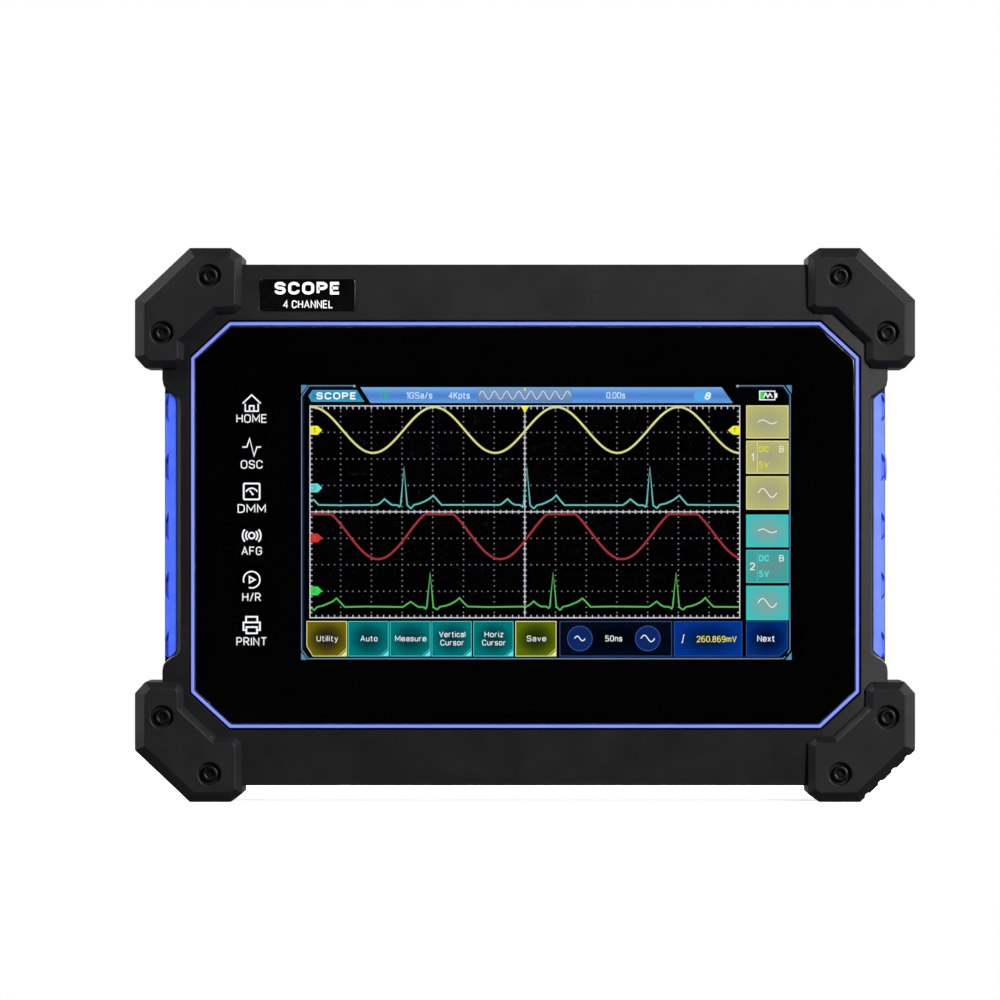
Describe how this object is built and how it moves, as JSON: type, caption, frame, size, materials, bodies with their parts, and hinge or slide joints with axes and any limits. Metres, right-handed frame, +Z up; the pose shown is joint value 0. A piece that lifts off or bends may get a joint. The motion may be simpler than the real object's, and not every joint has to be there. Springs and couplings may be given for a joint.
{
  "type": "handheld oscilloscope",
  "caption": "Tablet-style oscilloscope with a touch screen, rubber corner guards, blue side grips, top sockets, hinged port door and kickstand.",
  "frame": {"origin": "centre of the footprint, on the surface that the lower corner guards stand on", "axes": "+X to the right of someone facing the screen, along the width; +Y from the screen to the back, along the depth; +Z up"},
  "size_m": [0.265, 0.05, 0.1882],
  "materials": {
    "case": "fine textured moulding",
    "guard": "satin elastomer",
    "grip": "satin blue",
    "trim": "satin blue",
    "glass": "polished, black border",
    "screw": "black oxide",
    "nickel": "nickel plated",
    "steel": "sheet metal",
    "aluminium": "extruded",
    "board": "solder mask",
    "black": "satin moulding",
    "red": "satin moulding",
    "seal": "soft",
    "battery": "shrink wrap",
    "display": "lit panel behind glass",
    "badge": "gloss black"
  },
  "bodies": {
    "case": {"battery_door": "case", "battery_door_screw_left": "nickel", "battery_door_screw_right": "nickel", "battery_pack": "battery", "bnc_channel_1": "nickel", "bnc_channel_2": "nickel", "bnc_channel_3": "nickel", "bnc_channel_4": "nickel", "bnc_generator": "nickel", "case_screw_lower_left": "screw", "case_screw_lower_right": "screw", "case_screw_upper_left": "screw", "case_screw_upper_right": "screw", "connector_panel": "black", "corner_guard_lower_left": "guard", "corner_guard_lower_right": "guard", "corner_guard_upper_left": "guard", "corner_guard_upper_right": "guard", "dc_jack": "nickel", "display_clamp_left": "steel", "display_clamp_right": "steel", "display_panel": "display", "display_tray": "steel", "fan_frame": "black", "front_bezel": "case", "glass_gasket": "seal", "guard_screw_lower_left_1": "screw", "guard_screw_lower_left_2": "screw", "guard_screw_lower_right_1": "screw", "guard_screw_lower_right_2": "screw", "guard_screw_upper_left_1": "screw", "guard_screw_upper_left_2": "screw", "guard_screw_upper_right_1": "screw", "guard_screw_upper_right_2": "screw", "hand_grip_left": "grip", "hand_grip_right": "grip", "hdmi_port": "nickel", "heat_sink": "aluminium", "input_shield": "nickel", "jack_ampere": "red", "jack_common": "black", "jack_milliampere": "red", "jack_volt": "red", "kickstand_pin": "nickel", "main_board": "board", "name_badge": "badge", "port_board": "board", "port_door_pin": "nickel", "power_switch": "black", "rear_cover": "case", "speaker": "black", "touch_glass": "glass", "touch_key_board": "board", "trim_ring": "trim", "usb_a_port": "nickel", "usb_c_port": "nickel"},
    "kickstand": {"kickstand": "black"},
    "power_button": {"power_button": "grip"},
    "port_door": {"port_door": "seal"},
    "fan_rotor": {"fan_rotor": "black"}
  },
  "joints": [
    {"name": "kickstand_hinge", "type": "hinge", "parent": "case", "child": "kickstand", "pos_m": [0, 0.0186, 0.1021], "axis": [1, 0, 0], "range_deg": [0, 60]},
    {"name": "port_door_hinge", "type": "hinge", "parent": "case", "child": "port_door", "pos_m": [-0.122, 0.0172, 0.0941], "axis": [0, 0, -1], "range_deg": [0, 100]},
    {"name": "power_button_press", "type": "slide", "parent": "case", "child": "power_button", "axis": [-1, 0, 0], "range_m": [0, 0.001], "stiffness_N_per_m": 400, "springref_m": -0.003},
    {"name": "fan_spin", "type": "hinge", "parent": "case", "child": "fan_rotor", "pos_m": [0.08, 0.01, 0.1321], "axis": [0, 1, 0], "continuous": true}
  ]
}
